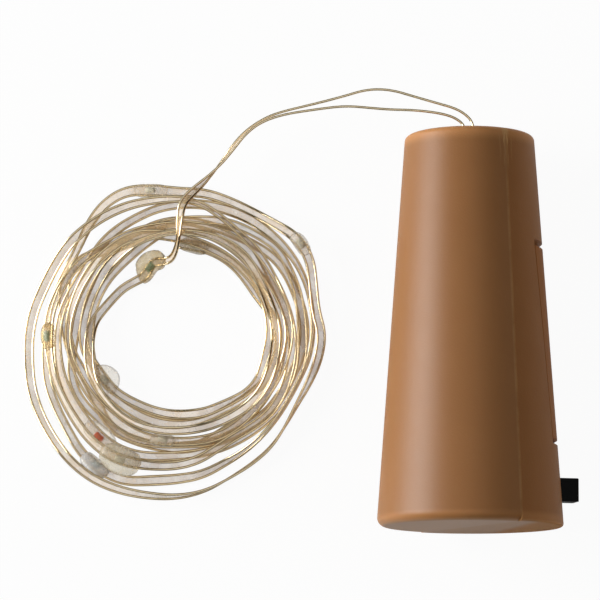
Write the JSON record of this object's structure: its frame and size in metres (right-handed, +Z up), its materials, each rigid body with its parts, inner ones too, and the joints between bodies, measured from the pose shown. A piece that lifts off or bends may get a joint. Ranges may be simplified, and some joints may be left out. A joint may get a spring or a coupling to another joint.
{
  "type": "cork bottle light",
  "caption": "Cork-shaped battery case with a slide switch and a hooked battery door, and a fine flat wire string of small LED drops coiled beside it; plugs a bottle to light it.",
  "frame": {"origin": "on the surface that the light lies on, under the middle of the cork case's footprint", "axes": "+Z up from that surface, +Y along the lying cork towards its narrow end, +X to the side that the switch knob stands out of"},
  "size_m": [0.0724, 0.0563, 0.0234],
  "materials": {
    "cork_plastic": "satin moulded tan plastic",
    "knob_plastic": "black moulded plastic",
    "cell_steel": "nickel-plated can",
    "contact_steel": "nickel-plated spring steel",
    "switch_steel": "tinned sheet steel",
    "switch_plastic": "dark moulded phenolic",
    "board_laminate": "green solder mask on laminate",
    "resistor_ceramic": "black ceramic with tinned ends",
    "solder": "bright solder",
    "wire_enamel": "clear enamel on fine wire",
    "clear_seal": "clear hot-melt plug",
    "string_ribbon": "champagne wires in a clear flat film",
    "led_resin": "clear cast resin",
    "led_chip": "small LED chip"
  },
  "bodies": {
    "case": {"front_shell": "cork_plastic", "rear_shell": "cork_plastic", "button_cell_1": "cell_steel", "button_cell_2": "cell_steel", "button_cell_3": "cell_steel", "positive_contact": "contact_steel", "negative_contact": "contact_steel", "contact_spring": "contact_steel", "switch_terminals": "contact_steel", "switch_frame": "switch_steel", "switch_base": "switch_plastic", "circuit_board": "board_laminate", "chip_resistor": "resistor_ceramic", "solder_joints": "solder", "positive_wire": "wire_enamel", "negative_wire": "wire_enamel", "wire_seal": "clear_seal", "string_lead": "string_ribbon", "string_coil": "string_ribbon", "led_bead_1": "led_resin", "led_bead_2": "led_resin", "led_bead_3": "led_resin", "led_bead_4": "led_resin", "led_bead_5": "led_resin", "led_bead_6": "led_resin", "led_bead_7": "led_resin", "led_bead_8": "led_resin", "led_bead_9": "led_resin", "led_bead_10": "led_resin", "led_chip_1": "led_chip", "led_chip_2": "led_chip", "led_chip_3": "led_chip", "led_chip_4": "led_chip", "led_chip_5": "led_chip", "led_chip_6": "led_chip", "led_chip_7": "led_chip", "led_chip_8": "led_chip", "led_chip_9": "led_chip", "led_chip_10": "led_chip"},
    "door": {"battery_door": "cork_plastic"},
    "slider": {"switch_knob": "knob_plastic", "switch_wiper": "contact_steel"}
  },
  "joints": [
    {"name": "door_hinge", "type": "hinge", "parent": "case", "child": "door", "pos_m": [0.00789, 0.01057, 0.00677], "axis": [0.2672, 0.0682, 0.9612], "range_deg": [0, 21]},
    {"name": "switch_slide", "type": "slide", "parent": "case", "child": "slider", "axis": [0, 0.9975, -0.0708], "range_m": [0, 0.002]}
  ]
}
